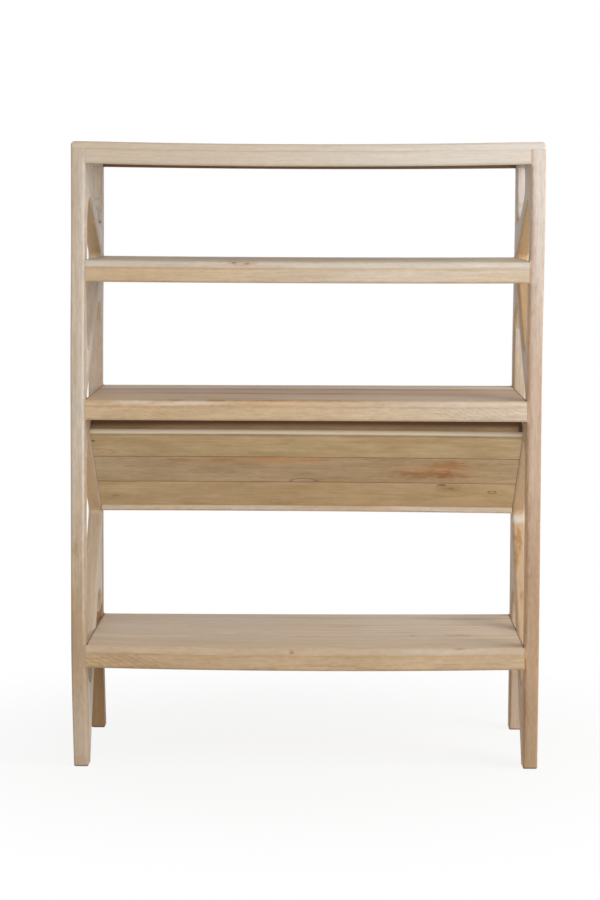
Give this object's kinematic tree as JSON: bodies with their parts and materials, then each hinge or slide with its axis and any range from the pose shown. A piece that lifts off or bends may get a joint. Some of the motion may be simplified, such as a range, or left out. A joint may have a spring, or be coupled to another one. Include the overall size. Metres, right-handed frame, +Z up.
{
  "type": "periodical display rack",
  "caption": "Free-standing solid-wood rack with a flat top, open shelves, a sloping display shelf with a lip, and open side frames braced in a zigzag.",
  "frame": {"origin": "on the floor, at the middle of the footprint", "axes": "+X to the right seen from the front, +Y from the front to the rear, +Z up"},
  "size_m": [0.9, 0.4, 1.2],
  "materials": {
    "post_wood": "clear matt finish on pale, slightly greyed hardwood, long grain upright",
    "brace_wood": "clear matt finish on pale, slightly greyed hardwood, grain along the brace",
    "top_wood": "clear matt finish on the palest hardwood, grain along the board",
    "shelf_wood": "clear matt finish on pale honey hardwood, grain along the board",
    "slope_wood": "clear matt finish on honey hardwood with darker streaks, grain along the planks"
  },
  "bodies": {
    "root": {"post_front_left": "post_wood", "post_front_right": "post_wood", "post_rear_left": "post_wood", "post_rear_right": "post_wood", "top_rail_left": "post_wood", "brace_top_left": "brace_wood", "brace_upper_left": "brace_wood", "brace_middle_left": "brace_wood", "brace_lower_left": "brace_wood", "top_rail_right": "post_wood", "brace_top_right": "brace_wood", "brace_upper_right": "brace_wood", "brace_middle_right": "brace_wood", "brace_lower_right": "brace_wood", "top_rail_front": "top_wood", "top_rail_rear": "top_wood", "top_plank_1": "top_wood", "top_plank_2": "top_wood", "top_plank_3": "top_wood", "top_plank_4": "top_wood", "upper_shelf_rail_front": "shelf_wood", "upper_shelf_rail_rear": "shelf_wood", "upper_shelf_plank_1": "shelf_wood", "upper_shelf_plank_2": "shelf_wood", "upper_shelf_plank_3": "shelf_wood", "upper_shelf_plank_4": "shelf_wood", "middle_shelf_rail_front": "shelf_wood", "middle_shelf_rail_rear": "shelf_wood", "middle_shelf_plank_1": "shelf_wood", "middle_shelf_plank_2": "shelf_wood", "middle_shelf_plank_3": "shelf_wood", "middle_shelf_plank_4": "shelf_wood", "lower_shelf_rail_front": "shelf_wood", "lower_shelf_rail_rear": "shelf_wood", "lower_shelf_plank_1": "shelf_wood", "lower_shelf_plank_2": "shelf_wood", "lower_shelf_plank_3": "shelf_wood", "lower_shelf_plank_4": "shelf_wood", "slope_plank_1": "slope_wood", "slope_plank_2": "slope_wood", "slope_plank_3": "slope_wood", "slope_lip": "shelf_wood", "slope_back_stop": "slope_wood"}
  },
  "joints": []
}
